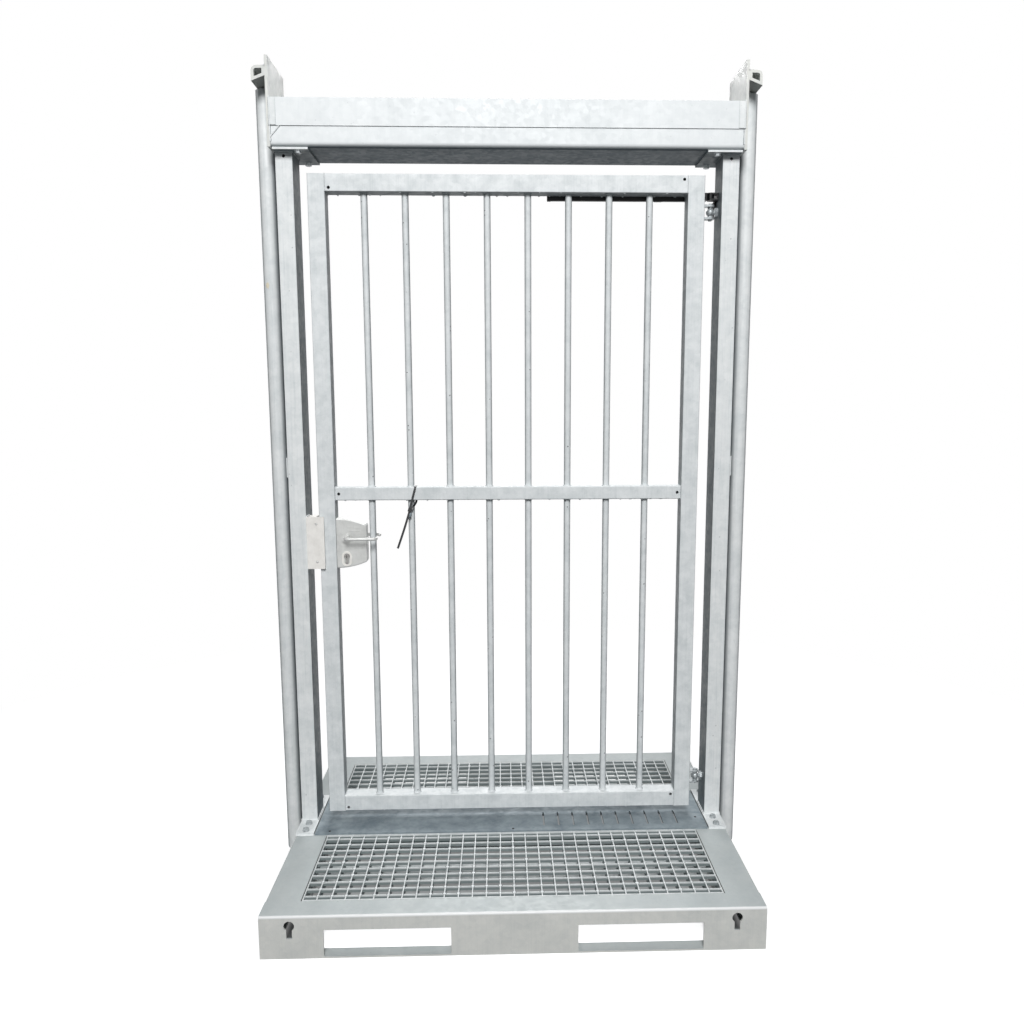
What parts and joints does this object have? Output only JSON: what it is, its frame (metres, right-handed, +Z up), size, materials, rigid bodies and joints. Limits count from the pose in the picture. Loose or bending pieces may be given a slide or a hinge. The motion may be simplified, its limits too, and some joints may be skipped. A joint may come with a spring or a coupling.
{
  "type": "free-standing walk-through gate",
  "caption": "Free-standing steel walk-through gate: barred leaf with lever lock in a portal frame on a grated base tray with fork slots and side coupling tubes.",
  "frame": {"origin": "on the ground, at the centre of the base tray", "axes": "+X to the hinge side, seen from the side that the lock's stop plate faces; +Y through the gate in the direction that the leaf opens; +Z up"},
  "size_m": [1.4604, 1.024, 2.404],
  "materials": {
    "galvanised_frame": "hot-dip galvanised, matt grey with spangle",
    "galvanised_base": "hot-dip galvanised folded plate",
    "galvanised_grating": "hot-dip galvanised grating",
    "galvanised_plate": "hot-dip galvanised plate, dull",
    "galvanised_header": "hot-dip galvanised, bright",
    "galvanised_leaf": "hot-dip galvanised tube",
    "zinc_hardware": "zinc-plated",
    "satin_lock_metal": "satin",
    "cylinder_nickel": "satin nickel",
    "black_paint": "semi-gloss black",
    "black_nylon": "moulded nylon"
  },
  "bodies": {
    "frame": {"base_front_rail": "galvanised_base", "base_left_rail": "galvanised_base", "base_rear_rail": "galvanised_base", "base_right_rail": "galvanised_base", "closer_bracket": "black_paint", "coupling_tube_left": "galvanised_frame", "coupling_tube_right": "galvanised_frame", "end_plate_left": "galvanised_frame", "end_plate_right": "galvanised_frame", "eye_bolt_bottom": "zinc_hardware", "eye_bolt_top": "zinc_hardware", "foot_plate_left": "galvanised_frame", "foot_plate_right": "galvanised_frame", "front_bearer": "galvanised_frame", "front_grating": "galvanised_grating", "head_plate_left": "galvanised_frame", "head_plate_right": "galvanised_frame", "header_lower": "galvanised_header", "header_upper": "galvanised_header", "lock_keep": "satin_lock_metal", "post_left": "galvanised_frame", "post_right": "galvanised_frame", "rear_grating": "galvanised_grating", "threshold_beam_front": "galvanised_frame", "threshold_beam_rear": "galvanised_frame", "threshold_plate": "galvanised_plate", "top_stub_left": "galvanised_frame", "top_stub_right": "galvanised_frame", "tube_spacers_left": "galvanised_frame", "tube_spacers_right": "galvanised_frame"},
    "leaf": {"hinge_clevis_bottom": "zinc_hardware", "hinge_clevis_top": "zinc_hardware", "leaf_bars": "galvanised_leaf", "leaf_bottom_rail": "galvanised_leaf", "leaf_hinge_stile": "galvanised_leaf", "leaf_latch_stile": "galvanised_leaf", "leaf_mid_rail": "galvanised_leaf", "leaf_top_rail": "galvanised_leaf", "lock_case": "satin_lock_metal", "lock_cylinder": "cylinder_nickel", "closer_arm": "black_paint", "cable_tie": "black_nylon"},
    "levers": {"lever_handles": "satin_lock_metal"}
  },
  "joints": [
    {"name": "leaf_swing", "type": "hinge", "parent": "frame", "child": "leaf", "pos_m": [0.598, 0.05, 1.12], "axis": [0, 0, -1], "range_deg": [0, 90], "stiffness_Nm_per_rad": 8, "springref_deg": -28.65},
    {"name": "lever_turn", "type": "hinge", "parent": "leaf", "child": "levers", "pos_m": [-0.503, 0.031, 1.036], "axis": [0, 1, 0], "range_deg": [0, 35], "stiffness_Nm_per_rad": 2, "springref_deg": -20.05}
  ]
}
